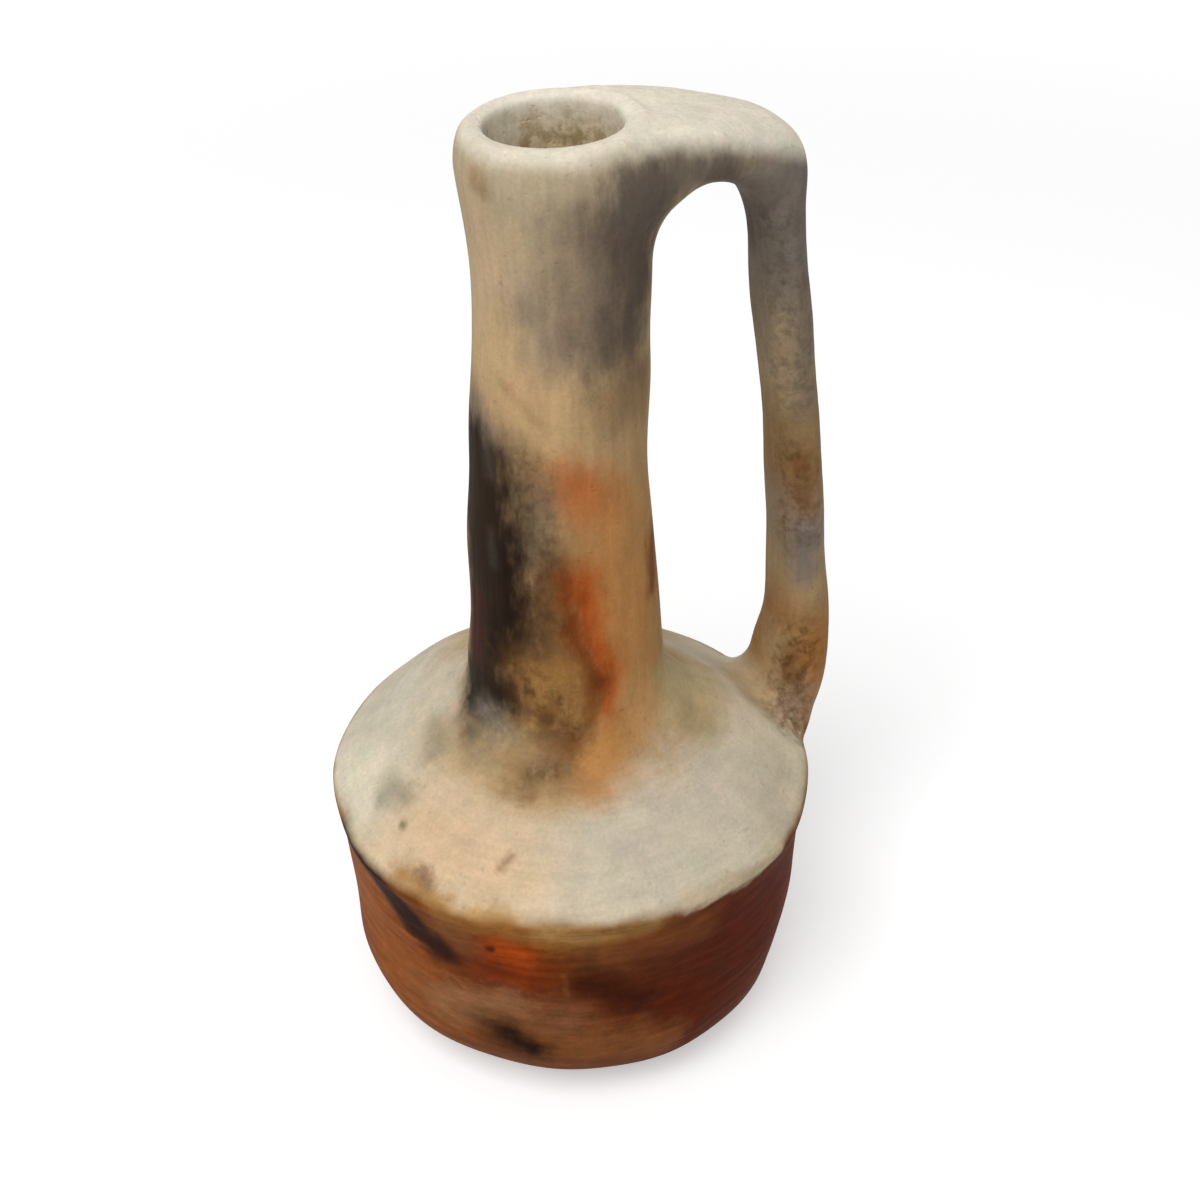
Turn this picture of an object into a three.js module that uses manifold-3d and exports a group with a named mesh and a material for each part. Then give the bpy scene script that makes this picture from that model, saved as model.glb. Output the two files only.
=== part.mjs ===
// A long-necked jar with one strap handle, hand-built from clay and smoke fired without a glaze.
// Each clay member is formed by itself, bevelled at its edges and luted to the next with slip: a dished base
// pad, three bowl courses, a conical shoulder slab, a root coil, three neck courses, a rim coil, a pulled strap,
// and the two wads of clay that are pressed in where the strap meets the wall.
// Millimetres, +Z up. The origin is the middle of the foot, and the handle stands on the +X side.

import * as THREE from "three";
import { mergeVertices } from "three/addons/utils/BufferGeometryUtils.js";
import Module from "manifold-3d";

// Bowl
const footRadius = 36; // the flat that the jar stands on
const bowlRadius = 71.8; // where the rounded heel turns into the wall
const heelHeight = 30;
const bowlHeight = 80.6; // foot to the underside of the shoulder's edge
const bowlFlare = 2; // how far the wall leans out above the heel
const bowlWall = 7.5;
const floorRadius = 32; // the flat inside
const floorThickness = 9;
const padHeight = 10; // edge of the base pad, which the first course stands on
const bowlCourses = ["bowl_lower_course", "bowl_middle_course", "bowl_upper_course"];

// Shoulder slab
const edgeOverhang = 2.2; // rolled edge past the bowl's wall
const edgeRadius = 4.5;
const shoulderSlope = THREE.MathUtils.degToRad(33.5);
const shoulderCrown = 1.4; // how far the slab swells above a plain cone
const slabThickness = 8;
const rootRadius = 41; // where the slab ends and the root coil begins

// Neck and rim
const rootHeight = 15.6; // the coil that fills the corner between slab and neck
const rootLean = 1.5; // how far the coil's fillet leans out from the neck
const courseHeight = 46;
const neckCourses = ["neck_lower_course", "neck_middle_course", "neck_upper_course"];
const seamRadii = [30.2, 26.9, 24.8, 23.9]; // neck's outside at its seams, from the root coil to the rim coil
const neckWall = 6.4;
const rimRise = 25; // rim coil, up to its widest
const rimRadius = 26;
const lipRise = 11; // rounded lip above the widest
const mouthRadius = 18.2;
const mouthRound = 5; // depth of the rounding inside the lip
const rimTilt = 3.2; // how far the lip dips on the side away from the handle

// Joints
const lutingGap = 0.3; // layer of slip between two members
const courseBevel = 5; // how far a course's edge climbs from the outside to the inside

// Handle: its upper half is placed from the rim's outside, its lower half from the shoulder's edge
const strapWidth = 24;
const strapThickness = 13;
const rootBite = 14; // how far the strap's end is shaped past the rim's outside
const rootDrop = 11.7; // lip's crown down to the strap's middle
const rootWidth = 45;
const rootThickness = 21;
const bridgeSpan = 16; // rim to the middle of the strap's broad top
const bridgeDrop = 13.3;
const bridgeWidth = 39;
const bridgeThickness = 20;
const bendSpan = 35.2; // rim to the top bend
const bendDrop = 19.5;
const bendWidth = 29;
const bendThickness = 17.5;
const gripSpan = 40; // rim to the strap's middle just under the bend
const gripDrop = 36;
const gripBow = 0.8; // how far the long run swells past a straight line
const ankleOverhang = 5; // shoulder's edge out to the strap's low bend
const ankleRise = 28; // that bend above the shoulder where the strap lands
const ankleThickness = 15.5;
const landingInset = 8.5; // shoulder's edge in to the middle of the strap's foot
const landingSink = 5; // how far the strap's end is shaped past the shoulder's surface

// Clay pressed in where the strap meets the wall
const archSpan = 20; // neck to the tip of the wad under the bridge
const archBite = 2; // how far the wad's foot is shaped past the neck's outside
const archHeight = 36; // its height on the neck
const archWidth = 25;
const footPadRise = 28; // pad round the strap's foot, from its feather edge down
const footPadWaist = 8; // height of its thickest part above the shoulder
const footPadOverhang = 2; // shoulder's edge out to the middle of that part
const footPadWidth = 40;
const footPadThickness = 22;
const footPadTuck = 14; // how far the pad is pressed down over the shoulder's edge
const footPadInset = 5; // shoulder's edge in to the middle of its lower end
const footPadEndWidth = 15; // the tongue that it ends in
const footPadEndThickness = 8;

// Facets
const turns = 48; // flats round the jar
const facetTurn = THREE.MathUtils.degToRad(14); // most that a profile turns between two flats
const leastFlats = 3; // along the gentlest curve
const splineFlats = 2; // along a spline, for each of its points
const turnSamples = 24; // points where a curve's turning is measured
const strapRings = 26;
const strapSides = 16;
const padRings = 8;
const archRings = 9;
const sectionPower = 0.8; // 1 is an ellipse, less is squarer
const weldDistance = 1e-3;

const wasm = await Module();
wasm.setup();

// Heights and points that follow from the sizes above.
const wallTopRadius = bowlRadius + bowlFlare;
const shoulderRadius = wallTopRadius + edgeOverhang;
const edgeCentre = new THREE.Vector2(
  shoulderRadius - edgeRadius,
  bowlHeight + Math.sqrt(edgeRadius ** 2 - (edgeRadius - edgeOverhang) ** 2),
);
const slabFoot = new THREE.Vector2(
  edgeCentre.x + edgeRadius * Math.sin(shoulderSlope),
  edgeCentre.y + edgeRadius * Math.cos(shoulderSlope),
);
const slabTop = (radius) => slabFoot.y + (slabFoot.x - radius) * Math.tan(shoulderSlope);
const slabUnderside = (radius) => slabTop(radius) - slabThickness / Math.cos(shoulderSlope);
const slabEnd = slabTop(rootRadius);
const slabEndInside = new THREE.Vector2(
  rootRadius - slabThickness * Math.sin(shoulderSlope),
  slabEnd - slabThickness * Math.cos(shoulderSlope),
);
const neckFoot = slabEnd + rootHeight;
const rimFoot = neckFoot + neckCourses.length * courseHeight;
const overallHeight = rimFoot + rimRise + lipRise;
const lipRadius = (rimRadius + mouthRadius) / 2;
const seamHeights = seamRadii.map((_, i) => neckFoot + i * courseHeight);

// A path as flats: each curve gets as many as its turning asks for.
function facet(path) {
  return path.curves.flatMap((curve, i) => {
    const tangents = curve.getPoints(turnSamples).map((_, n) => curve.getTangent(n / turnSamples));
    const turning = tangents.slice(1).reduce((sum, t, n) => sum + tangents[n].angleTo(t), 0);
    const least = curve.isSplineCurve ? splineFlats * curve.points.length : leastFlats;
    const flats = curve.isLineCurve ? 1 : Math.max(least, Math.ceil(turning / facetTurn));
    const points = curve.getPoints(flats);
    return i ? points.slice(1) : points;
  });
}

// The jar's outside from the foot to the lip's crown, as radius and height.
function outsideProfile() {
  const path = new THREE.Path();
  path.moveTo(footRadius, 0);
  path.absellipse(footRadius, heelHeight, bowlRadius - footRadius, heelHeight, -Math.PI / 2, 0, false);
  path.quadraticCurveTo(bowlRadius, (heelHeight + bowlHeight) / 2, wallTopRadius, bowlHeight);
  const edgeStart = -Math.acos((wallTopRadius - edgeCentre.x) / edgeRadius);
  path.absarc(edgeCentre.x, edgeCentre.y, edgeRadius, edgeStart, Math.PI / 2 - shoulderSlope, false);
  const slabMiddle = (slabFoot.x + rootRadius) / 2;
  path.quadraticCurveTo(slabMiddle, slabTop(slabMiddle) + 2 * shoulderCrown, rootRadius, slabEnd);
  const filletRadius = seamRadii[0] + rootLean;
  path.quadraticCurveTo(filletRadius, slabTop(filletRadius), seamRadii[0], neckFoot);
  path.splineThru([
    ...seamRadii.slice(1).map((radius, i) => new THREE.Vector2(radius, seamHeights[i + 1])),
    new THREE.Vector2(rimRadius, rimFoot + rimRise),
  ]);
  path.absellipse(lipRadius, rimFoot + rimRise, rimRadius - lipRadius, lipRise, 0, Math.PI / 2, false);
  return facet(path);
}

// The hollow, from the floor's edge to the lip's crown.
function insideProfile() {
  const path = new THREE.Path();
  const wallRadius = bowlRadius - bowlWall;
  const wallTop = wallTopRadius - bowlWall;
  path.moveTo(floorRadius, floorThickness);
  path.absellipse(
    floorRadius,
    heelHeight,
    wallRadius - floorRadius,
    heelHeight - floorThickness,
    -Math.PI / 2,
    0,
    false,
  );
  path.quadraticCurveTo(wallRadius, (heelHeight + bowlHeight) / 2, wallTop, slabUnderside(wallTop));
  path.lineTo(slabEndInside.x, slabEndInside.y);
  const boreFoot = seamRadii[0] - neckWall;
  const filletRadius = boreFoot + rootLean;
  path.quadraticCurveTo(filletRadius, slabUnderside(filletRadius), boreFoot, neckFoot);
  path.splineThru([
    ...seamRadii.slice(1).map((radius, i) => new THREE.Vector2(radius - neckWall, seamHeights[i + 1])),
    new THREE.Vector2(mouthRadius, overallHeight - mouthRound),
  ]);
  path.absellipse(
    lipRadius,
    overallHeight - mouthRound,
    lipRadius - mouthRadius,
    mouthRound,
    Math.PI,
    Math.PI / 2,
    true,
  );
  return facet(path);
}

const outside = outsideProfile();
const inside = insideProfile();

// The stretch of a rising profile between two heights, ends included.
function stretch(profile, low, high) {
  const at = (height) => {
    const above = profile.findIndex((p) => p.y >= height);
    const i = above < 0 ? profile.length - 1 : Math.max(1, above);
    const [a, b] = [profile[i - 1], profile[i]];
    return a.clone().lerp(b, (height - a.y) / (b.y - a.y));
  };
  const clear = lutingGap / 2; // a profile point nearer to an end than this would make a sliver
  const between = profile.filter((p) => p.y > low + clear && p.y < high - clear);
  return [at(low), ...between, at(high)];
}

// A solid of revolution from an outline that closes on itself or ends on the axis.
function revolve(outline) {
  return new THREE.LatheGeometry(outline, turns).rotateX(Math.PI / 2);
}

// Lowers the lip towards the side away from the handle, and leaves all below the rim coil as it is.
function tilt(geometry) {
  const points = geometry.getAttribute("position");
  const start = rimFoot + courseBevel + lutingGap;
  for (let i = 0; i < points.count; i++) {
    const share = Math.max(0, points.getZ(i) - start) / (overallHeight - start);
    const away = (rimRadius - points.getX(i)) / (2 * rimRadius);
    points.setZ(i, points.getZ(i) - rimTilt * away * share ** 2);
  }
  geometry.computeVertexNormals();
  return geometry;
}

// A ring of wall between two seams, each given by its height outside and its height inside.
function course(low, high) {
  const outer = stretch(outside, low.outer + lutingGap, high.outer);
  const inner = stretch(inside, low.inner + lutingGap, high.inner).reverse();
  return revolve([...outer, ...inner, outer[0]]);
}

function basePad(seam) {
  const outer = stretch(outside, 0, seam.outer);
  const inner = stretch(inside, floorThickness, seam.inner).reverse();
  const axis = [new THREE.Vector2(0, floorThickness)];
  return revolve([new THREE.Vector2(0, 0), ...outer, ...inner, ...axis]);
}

function rimCoil(seam) {
  const outer = stretch(outside, seam.outer + lutingGap, overallHeight);
  const inner = stretch(inside, seam.inner + lutingGap, overallHeight).reverse();
  return tilt(revolve([...outer, ...inner.slice(1), outer[0]]));
}

// The jar's outside as one solid, grown by the slip, to shape what is luted on it.
function envelope() {
  const grown = outside.map((p) => new THREE.Vector2(p.x + lutingGap, p.y));
  const crown = new THREE.Vector2(0, overallHeight);
  return tilt(revolve([new THREE.Vector2(0, 0), ...grown, crown]));
}

// The strap's middle line and sections, from the rim to the shoulder.
const section = (reach, height, width, thickness) => ({ reach, height, width, thickness });
const landingReach = shoulderRadius - landingInset;
const landing = slabTop(landingReach);
const ankleReach = shoulderRadius + ankleOverhang;

function strapStations() {
  const gripTop = overallHeight - gripDrop;
  const gripReach = rimRadius + gripSpan;
  const ankle = landing + ankleRise;
  const middleReach = (gripReach + ankleReach) / 2 + gripBow;
  return [
    section(rimRadius - rootBite, overallHeight - rootDrop, rootWidth, rootThickness),
    section(rimRadius + bridgeSpan, overallHeight - bridgeDrop, bridgeWidth, bridgeThickness),
    section(rimRadius + bendSpan, overallHeight - bendDrop, bendWidth, bendThickness),
    section(gripReach, gripTop, strapWidth, strapThickness),
    section(middleReach, (gripTop + ankle) / 2, strapWidth, strapThickness),
    section(ankleReach, ankle, strapWidth, ankleThickness),
    section(landingReach, landing - landingSink, strapWidth, strapThickness),
  ];
}

// The clay spread round the strap's foot, pressed down over the shoulder's edge.
function footPadStations() {
  const waistReach = shoulderRadius + footPadOverhang;
  const endReach = shoulderRadius - footPadInset;
  return [
    section(ankleReach, landing + footPadRise, strapWidth - lutingGap, ankleThickness - lutingGap),
    section(waistReach, landing + footPadWaist, footPadWidth, footPadThickness),
    section(endReach, landing - footPadTuck, footPadEndWidth, footPadEndThickness),
  ];
}

// A closed skin over rounded sections, each with its middle, its outward direction, its width and its thickness.
function skin(sections, grow) {
  const across = new THREE.Vector3(0, 1, 0);
  const rounded = (value) => Math.sign(value) * Math.abs(value) ** sectionPower;
  const positions = [];
  for (const { middle, outward, width, thickness } of sections) {
    for (let side = 0; side < strapSides; side++) {
      const angle = (2 * Math.PI * side) / strapSides;
      const point = middle.clone();
      point.addScaledVector(across, rounded(Math.cos(angle)) * (width / 2 + grow));
      point.addScaledVector(outward, rounded(Math.sin(angle)) * (thickness / 2 + grow));
      positions.push(...point.toArray());
    }
  }
  const indices = [];
  const lastRing = (sections.length - 1) * strapSides;
  for (let ring = 0; ring < lastRing; ring += strapSides) {
    for (let side = 0; side < strapSides; side++) {
      const a = ring + side;
      const b = ring + ((side + 1) % strapSides);
      indices.push(a, b, b + strapSides, a, b + strapSides, a + strapSides);
    }
  }
  for (let side = 1; side < strapSides - 1; side++) {
    indices.push(0, side + 1, side);
    indices.push(lastRing, lastRing + side, lastRing + side + 1);
  }
  const geometry = new THREE.BufferGeometry();
  geometry.setAttribute("position", new THREE.Float32BufferAttribute(positions, 3));
  geometry.setIndex(indices);
  return geometry;
}

// A loft through stations in the XZ plane, square to the line that joins their middles.
function loft(stations, rings, grow = 0) {
  const curve = (points) => new THREE.CatmullRomCurve3(points, false, "centripetal");
  const line = curve(stations.map((s) => new THREE.Vector3(s.reach, 0, s.height)));
  const sizes = curve(stations.map((s) => new THREE.Vector3(s.width, s.thickness, s.height)));
  const sections = [];
  for (let ring = 0; ring <= rings; ring++) {
    const middle = line.getPoint(ring / rings);
    const heading = line.getTangent(ring / rings);
    const outward = new THREE.Vector3(-heading.z, 0, heading.x);
    const { x: width, y: thickness } = sizes.getPoint(ring / rings);
    sections.push({ middle, outward, width, thickness });
  }
  return skin(sections, grow);
}

// A geometry as a solid that can be cut, and back.
function solid(geometry) {
  const bare = geometry.clone();
  bare.deleteAttribute("normal");
  bare.deleteAttribute("uv");
  const merged = mergeVertices(bare, weldDistance);
  const vertProperties = merged.getAttribute("position").array;
  const corners = merged.index.array;
  const triVerts = [];
  for (let i = 0; i < corners.length; i += 3) {
    const [a, b, c] = corners.slice(i, i + 3);
    if (a !== b && b !== c && c !== a) triVerts.push(a, b, c); // none of the empty triangles on the axis
  }
  const mesh = new wasm.Mesh({ numProp: 3, vertProperties, triVerts: new Uint32Array(triVerts) });
  return new wasm.Manifold(mesh);
}

function geometryOf(shape) {
  const mesh = shape.getMesh();
  const geometry = new THREE.BufferGeometry();
  geometry.setAttribute("position", new THREE.BufferAttribute(mesh.vertProperties, 3));
  geometry.setIndex(new THREE.BufferAttribute(mesh.triVerts, 1));
  geometry.computeVertexNormals();
  return geometry;
}

// The wad in the corner under the bridge: its free face is the arch over the fingers.
function archWad() {
  const bridge = overallHeight - bridgeDrop;
  const soffit = bridge - bridgeThickness / 2;
  const neck = seamRadii.at(-1);
  const arch = new THREE.QuadraticBezierCurve(
    new THREE.Vector2(neck - archBite, soffit - archHeight),
    new THREE.Vector2(neck + rootLean, soffit),
    new THREE.Vector2(neck + archSpan, soffit),
  );
  const outward = new THREE.Vector3(0, 0, 1);
  const upright = (reach, low) => ({
    middle: new THREE.Vector3(reach, 0, (low + bridge) / 2),
    outward,
    width: archWidth,
    thickness: bridge - low,
  });
  const root = upright(neck - neckWall, soffit - archHeight);
  return skin([root, ...arch.getPoints(archRings).map((p) => upright(p.x, p.y))], 0);
}

// Fired clay: the colour is the flame's mark on that stretch of the jar.
function clay(color, roughness) {
  return new THREE.MeshStandardMaterial({ color, roughness, metalness: 0 });
}

const jar = new THREE.Group();
jar.name = "handled_jar";

function place(name, geometry, material) {
  const mesh = new THREE.Mesh(geometry, material);
  mesh.name = name;
  jar.add(mesh);
}

// Seams from the foot upwards.
const bevelled = (height) => ({ outer: height, inner: height + courseBevel });
const padSeam = { outer: padHeight, inner: floorThickness + courseBevel };
const bowlStep = (bowlHeight - padHeight) / bowlCourses.length;
const slabSeat = { outer: bowlHeight, inner: slabUnderside(wallTopRadius - bowlWall) };
const bowlSeams = bowlCourses.map((_, i) => bevelled(padHeight + i * bowlStep));
bowlSeams[0] = padSeam;
bowlSeams.push(slabSeat);
const rootSeat = { outer: slabEnd, inner: slabEndInside.y };
const neckSeams = seamHeights.map(bevelled);

place("base_pad", basePad(padSeam), clay(0x6a4030, 0.85));
bowlCourses.forEach((name, i) => {
  place(name, course(bowlSeams[i], bowlSeams[i + 1]), clay(0x84502f, 0.75));
});
place("shoulder_slab", course(slabSeat, rootSeat), clay(0xd0c3aa, 0.7));
place("neck_root_coil", course(rootSeat, neckSeams[0]), clay(0xb89a72, 0.72));
neckCourses.forEach((name, i) => {
  place(name, course(neckSeams[i], neckSeams[i + 1]), clay(0xab8d66, 0.7));
});
place("rim_coil", rimCoil(neckSeams.at(-1)), clay(0xcbbfa3, 0.68));

const wall = solid(envelope());
const strap = solid(loft(strapStations(), strapRings)).subtract(wall);
const strapRoom = solid(loft(strapStations(), strapRings, lutingGap));
const archCut = solid(archWad()).subtract(strapRoom).subtract(wall);
const footCut = solid(loft(footPadStations(), padRings)).subtract(strapRoom).subtract(wall);
place("handle_strap", geometryOf(strap), clay(0x94877a, 0.72));
place("handle_arch_wad", geometryOf(archCut), clay(0x6d6254, 0.75));
place("handle_foot_pad", geometryOf(footCut), clay(0xa88660, 0.75));

export default jar;
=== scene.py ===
# A long-necked jar with one strap handle, hand-built from clay, burnished and smoke fired without a glaze.
# It is shaped in millimetres as one body of clay, carved along the seams of its members,
# and stood up in metres.

import math

import bmesh
import bpy
import numpy as np
import openvdb
from mathutils import Matrix, Vector
from mathutils.bvhtree import BVHTree


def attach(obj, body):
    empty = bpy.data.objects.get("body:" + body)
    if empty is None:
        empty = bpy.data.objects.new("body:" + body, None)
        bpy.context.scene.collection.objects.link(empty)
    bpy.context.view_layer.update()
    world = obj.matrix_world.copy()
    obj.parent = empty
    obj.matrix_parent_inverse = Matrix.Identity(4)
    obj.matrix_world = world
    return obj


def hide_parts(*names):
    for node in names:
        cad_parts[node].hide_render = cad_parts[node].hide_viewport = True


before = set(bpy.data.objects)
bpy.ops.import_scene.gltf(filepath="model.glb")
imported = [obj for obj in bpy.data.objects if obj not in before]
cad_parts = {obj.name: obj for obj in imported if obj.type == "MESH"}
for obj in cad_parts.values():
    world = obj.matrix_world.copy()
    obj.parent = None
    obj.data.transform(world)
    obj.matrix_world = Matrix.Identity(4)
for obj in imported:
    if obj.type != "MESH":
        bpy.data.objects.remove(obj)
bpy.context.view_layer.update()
MM = 0.001

# Camera: where the photograph was taken from, and its frame
EYE = Vector((-172.5, -406.3, 465.9)) * MM
GAZE = Vector((0.3344, 0.7391, -0.5848)).normalized()
ROLL = math.radians(-0.72)
LENS = 54.0
SENSOR = 36.0
PHOTO = 1200

# Bowl
FOOT_RADIUS = 36.0
BOWL_RADIUS = 71.8
HEEL_HEIGHT = 30.0
BOWL_HEIGHT = 80.6
BOWL_FLARE = 3.0
BOWL_WALL = 7.5
FLOOR_RADIUS = 32.0
FLOOR_THICKNESS = 9.0
PAD_HEIGHT = 10.0

# Shoulder slab
EDGE_OVERHANG = 1.2
EDGE_RADIUS = 4.5
SHOULDER_SLOPE = math.radians(33.5)
SHOULDER_CROWN = 1.4
SLAB_THICKNESS = 8.0
ROOT_RADIUS = 41.0

# Neck and rim
ROOT_HEIGHT = 15.6
ROOT_LEAN = 1.5
COURSE_HEIGHT = 46.0
SEAM_RADII = (30.2, 26.9, 24.8, 23.9)
NECK_WALL = 6.4
RIM_RISE = 25.0
RIM_RADIUS = 26.0
LIP_RISE = 11.0
MOUTH_RADIUS = 18.2
MOUTH_ROUND = 2.6
MOUTH_SHIFT = 2.2  # how far the mouth lies off the axis
SHIFTED_TO = math.radians(67)  # and towards which bearing
SHIFT_EDGE = 2.0  # how far from the middle of the lip the shift comes in
RIM_TILT = 1.7
LOW_SIDE = math.radians(150)  # bearing of the rim's lowest side
COURSE_BEVEL = 5.0

# Mesh
VOXEL = 1.25
TABLE_STEP = 0.5
TABLE_REACH = 130  # past the corners of the grid
STRAP_STEPS = 40
SEAM_SIDES = 96
GRID_BACK, GRID_FRONT, GRID_SIDE = -84, 98, 84
GRID_LOW, GRID_HIGH = -5, 308
TINY, TINY_SQUARE, TINY_GAP = 1e-9, 1e-6, 1e-7  # keep a division or a root clear of nought

# Heights and points that follow
WALL_TOP = BOWL_RADIUS + BOWL_FLARE
WALL_MIDDLE = (HEEL_HEIGHT + BOWL_HEIGHT) / 2
SHOULDER_RADIUS = WALL_TOP + EDGE_OVERHANG
EDGE_R = SHOULDER_RADIUS - EDGE_RADIUS
EDGE_Z = BOWL_HEIGHT + math.sqrt(EDGE_RADIUS ** 2 - (EDGE_RADIUS - EDGE_OVERHANG) ** 2)
SLAB_R = EDGE_R + EDGE_RADIUS * math.sin(SHOULDER_SLOPE)
SLAB_Z = EDGE_Z + EDGE_RADIUS * math.cos(SHOULDER_SLOPE)


def slab_top(radius):
    return SLAB_Z + (SLAB_R - radius) * math.tan(SHOULDER_SLOPE)


def slab_under(radius):
    return slab_top(radius) - SLAB_THICKNESS / math.cos(SHOULDER_SLOPE)


SLAB_END = slab_top(ROOT_RADIUS)
SLAB_END_IN = (
    ROOT_RADIUS - SLAB_THICKNESS * math.sin(SHOULDER_SLOPE),
    SLAB_END - SLAB_THICKNESS * math.cos(SHOULDER_SLOPE),
)
NECK_FOOT = SLAB_END + ROOT_HEIGHT
RIM_FOOT = NECK_FOOT + 3 * COURSE_HEIGHT
HEIGHT = RIM_FOOT + RIM_RISE + LIP_RISE
LIP_R = (RIM_RADIUS + MOUTH_RADIUS) / 2
SEAM_HEIGHTS = [NECK_FOOT + i * COURSE_HEIGHT for i in range(4)]

# Strap's middle line from the rim to the shoulder:
# reach, height, width, thickness, and squareness of its outer face
LANDING_REACH = SHOULDER_RADIUS - 8.5
LANDING = slab_top(LANDING_REACH)
ANKLE_REACH = SHOULDER_RADIUS + 5.0
GRIP_REACH = RIM_RADIUS + 40.0
GRIP_TOP = HEIGHT - 36.0
STRAP = np.array([
    (RIM_RADIUS - 22.0, HEIGHT - 10.1, 42.0, 19.2, 4.5),
    (RIM_RADIUS, HEIGHT - 10.3, 43.0, 18.8, 4.5),
    (RIM_RADIUS + 16.0, HEIGHT - 12.0, 40.0, 16.2, 3.5),
    (RIM_RADIUS + 34.4, HEIGHT - 20.5, 29.0, 20.8, 2.6),
    (GRIP_REACH - 0.6, GRIP_TOP, 24.0, 13.6, 2.5),
    (GRIP_REACH + 3.5, GRIP_TOP - 36.0, 24.0, 13.4, 2.5),
    ((GRIP_REACH + ANKLE_REACH) / 2 + 1.4, (GRIP_TOP + LANDING + 28.0) / 2, 24.0, 13.4, 2.5),
    (ANKLE_REACH + 0.6, LANDING + 28.0, 25.0, 18.4, 2.5),
    (SHOULDER_RADIUS + 2.6, LANDING + 8.0, 34.0, 21.5, 2.5),
    (LANDING_REACH + 6.0, LANDING - 10.5, 34.0, 17.5, 2.5),
])
INNER_SQUARENESS = 2.5
STRAP_SOFTNESS = 2.8

# Clay smoothed into the corners where the strap meets the wall: radius of the fillet by height
FILLET_HEIGHTS = (105.0, 150.0, 250.0, 278.0, 290.0, 297.0)
FILLET_RADII = (10.0, 8.0, 24.0, 18.0, 9.0, 2.5)
# How far from the strap that clay belongs to the handle's members
GRASP_RADII = (10.5, 8.5, 25.0, 21.0, 8.0, 2.0)


# Camera

def look_from():
    right = GAZE.cross(Vector((0, 0, 1))).normalized()
    up = right.cross(GAZE)
    turned_right = right * math.cos(ROLL) + up * math.sin(ROLL)
    turned_up = up * math.cos(ROLL) - right * math.sin(ROLL)
    return turned_right, turned_up


RIGHT, UP = look_from()


def add_camera():
    data = bpy.data.cameras.new("camera")
    data.lens = LENS
    data.sensor_width = SENSOR
    data.sensor_fit = "HORIZONTAL"
    data.clip_start = 0.01
    camera = bpy.data.objects.new("camera", data)
    turn = Matrix((RIGHT, UP, -GAZE)).transposed()
    camera.matrix_world = Matrix.Translation(EYE) @ turn.to_4x4()
    bpy.context.scene.collection.objects.link(camera)
    bpy.context.scene.camera = camera


add_camera()


# Curves in the plane of radius and height

def arc(centre, reach, start, end, count=24):
    angles = np.radians(np.linspace(start, end, count))
    return np.array(centre) + np.c_[reach[0] * np.cos(angles), reach[1] * np.sin(angles)]


def bend(start, corner, end, count=16):
    t = np.linspace(0, 1, count)[:, None]
    return (1 - t) ** 2 * np.array(start) + 2 * t * (1 - t) * np.array(corner) + t ** 2 * np.array(end)


def hermite(a, b, slope_a, slope_b, count, last):
    t = np.linspace(0, 1, count, endpoint=last)[:, None]
    along = (2 * t ** 3 - 3 * t ** 2 + 1) * a + (3 * t ** 2 - 2 * t ** 3) * b
    return along + (t ** 3 - 2 * t ** 2 + t) * slope_a + (t ** 3 - t ** 2) * slope_b


EVENLY, BY_DISTANCE = 0.0, 0.5  # how the points of a smooth line are spaced


def through(points, count=12, power=EVENLY):
    """A smooth line through points."""
    p = np.array(points, float)
    p = np.vstack([2 * p[0] - p[1], p, 2 * p[-1] - p[-2]])
    steps = np.linalg.norm(np.diff(p, axis=0), axis=1) ** power
    line = []
    for i in range(1, len(p) - 2):
        a, b, c = steps[i - 1:i + 2]
        chord = (p[i + 1] - p[i]) / b
        slope_a = ((p[i] - p[i - 1]) / a - (p[i + 1] - p[i - 1]) / (a + b) + chord) * b
        slope_b = (chord - (p[i + 2] - p[i]) / (b + c) + (p[i + 2] - p[i + 1]) / c) * b
        line.append(hermite(p[i], p[i + 1], slope_a, slope_b, count, i == len(p) - 3))
    return np.vstack(line)


def outside():
    middle = (SLAB_R + ROOT_RADIUS) / 2
    lean = SEAM_RADII[0] + ROOT_LEAN
    edge_start = -math.degrees(math.acos((WALL_TOP - EDGE_R) / EDGE_RADIUS))
    return np.vstack([
        [(0, 0)],
        arc((FOOT_RADIUS, HEEL_HEIGHT), (BOWL_RADIUS - FOOT_RADIUS, HEEL_HEIGHT), -90, 0),
        bend((BOWL_RADIUS, HEEL_HEIGHT), (BOWL_RADIUS, WALL_MIDDLE), (WALL_TOP, BOWL_HEIGHT)),
        arc((EDGE_R, EDGE_Z), (EDGE_RADIUS, EDGE_RADIUS), edge_start, 90 - math.degrees(SHOULDER_SLOPE)),
        bend((SLAB_R, SLAB_Z), (middle, slab_top(middle) + 2 * SHOULDER_CROWN), (ROOT_RADIUS, SLAB_END)),
        bend((ROOT_RADIUS, SLAB_END), (lean, slab_top(lean)), (SEAM_RADII[0], NECK_FOOT)),
        through([*zip(SEAM_RADII, SEAM_HEIGHTS), (RIM_RADIUS, RIM_FOOT + RIM_RISE)]),
        arc((LIP_R, RIM_FOOT + RIM_RISE), (RIM_RADIUS - LIP_R, LIP_RISE), 0, 90),
        [(0, HEIGHT)],
    ])


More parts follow.
